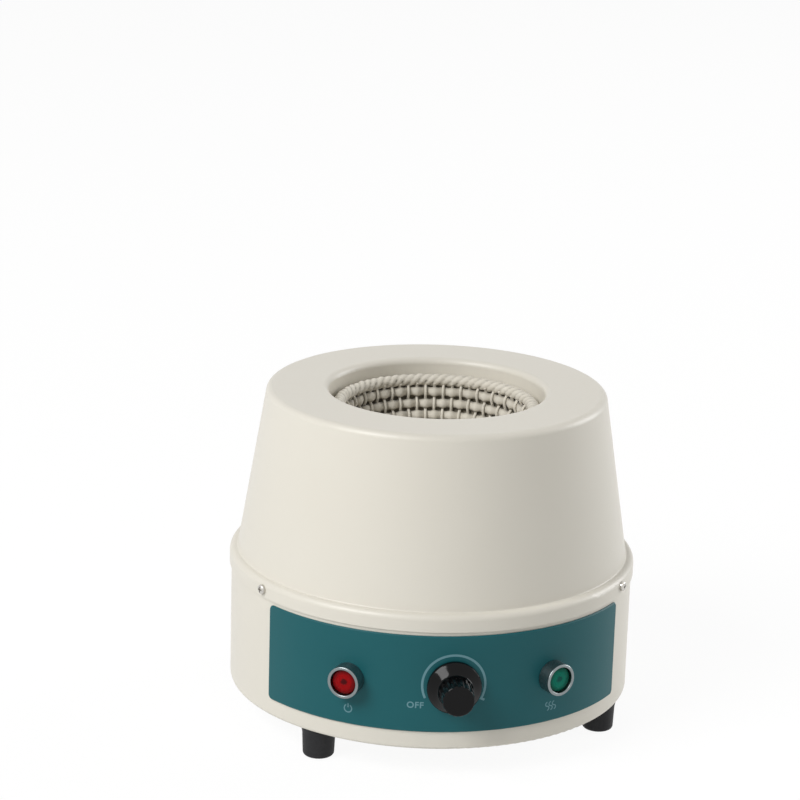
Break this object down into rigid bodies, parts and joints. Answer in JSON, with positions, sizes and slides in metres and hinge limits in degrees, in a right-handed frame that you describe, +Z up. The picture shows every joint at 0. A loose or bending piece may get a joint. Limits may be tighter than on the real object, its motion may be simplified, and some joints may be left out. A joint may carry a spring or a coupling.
{
  "type": "heating mantle",
  "caption": "Round steel heating mantle for a round-bottom flask: woven glass-fibre nest, curved control panel with a turning knob and indicator lamps, on rubber feet.",
  "frame": {"origin": "on the bench under the housing's own axis", "axes": "+Z up along the housing's axis, control panel towards -Y, cable gland towards +Y, +X to the right of someone facing the panel"},
  "size_m": [0.2008, 0.2376, 0.1643],
  "materials": {
    "shell_paint": "satin powder coat",
    "panel_film": "satin printed film",
    "chrome": "polished",
    "red_lens": "clear red, faceted",
    "green_lens": "clear green, faceted",
    "bakelite": "moulded gloss black",
    "rubber": "moulded matt",
    "steel": "bright zinc plate",
    "glass_yarn": "woven glass-fibre yarn",
    "blanket": "needled fibre",
    "aluminium": "spun mill finish",
    "brass": "tinned and bare brass",
    "black_plastic": "moulded black nylon",
    "board": "laminate with solder resist",
    "component": "moulded case",
    "fuse_glass": "clear tube with plated caps",
    "ceramic": "unglazed steatite",
    "sleeving": "braided sleeving",
    "wire_cover": "silicone insulation"
  },
  "bodies": {
    "housing": {"upper_shell": "shell_paint", "lower_shell": "shell_paint", "front_panel": "panel_film", "cover_screws": "steel", "cover_nuts": "steel", "power_lamp_bezel": "chrome", "power_lamp_lens": "red_lens", "power_lamp_body": "black_plastic", "power_lamp_blades": "brass", "power_lamp_nut": "steel", "heat_lamp_bezel": "chrome", "heat_lamp_lens": "green_lens", "heat_lamp_body": "black_plastic", "heat_lamp_blades": "brass", "heat_lamp_nut": "steel", "regulator_body": "steel", "regulator_lugs": "brass", "regulator_washer": "steel", "regulator_nut": "steel", "foot_front_left": "rubber", "foot_front_right": "rubber", "foot_rear_left": "rubber", "foot_rear_right": "rubber", "foot_washers": "steel", "foot_screws": "steel", "foot_nuts": "steel", "heating_nest": "glass_yarn", "insulation_blanket": "blanket", "support_bowl": "aluminium", "heat_shield": "aluminium", "bowl_rivets": "aluminium", "support_posts": "steel", "post_screws": "steel", "circuit_board": "board", "board_spacers": "brass", "board_screws": "steel", "heat_sink": "aluminium", "triac": "black_plastic", "capacitor": "component", "choke": "brass", "fuse": "fuse_glass", "fuse_clips": "brass", "board_terminals": "component", "terminal_block": "ceramic", "block_screw": "steel", "block_nut": "steel", "heater_leads": "sleeving", "lead_bushes": "ceramic", "lamp_leads": "wire_cover", "regulator_leads": "wire_cover", "cable_gland": "black_plastic", "gland_seal": "rubber", "gland_nut": "black_plastic", "gland_locknut": "black_plastic", "earth_stud": "brass", "earth_nuts": "brass"},
    "knob": {"control_knob": "bakelite", "knob_set_screw": "steel", "regulator_shaft": "aluminium"}
  },
  "joints": [
    {"name": "knob_turn", "type": "hinge", "parent": "housing", "child": "knob", "pos_m": [0, -0.1, 0.0474], "axis": [0, 1, 0], "range_deg": [0, 270]}
  ]
}
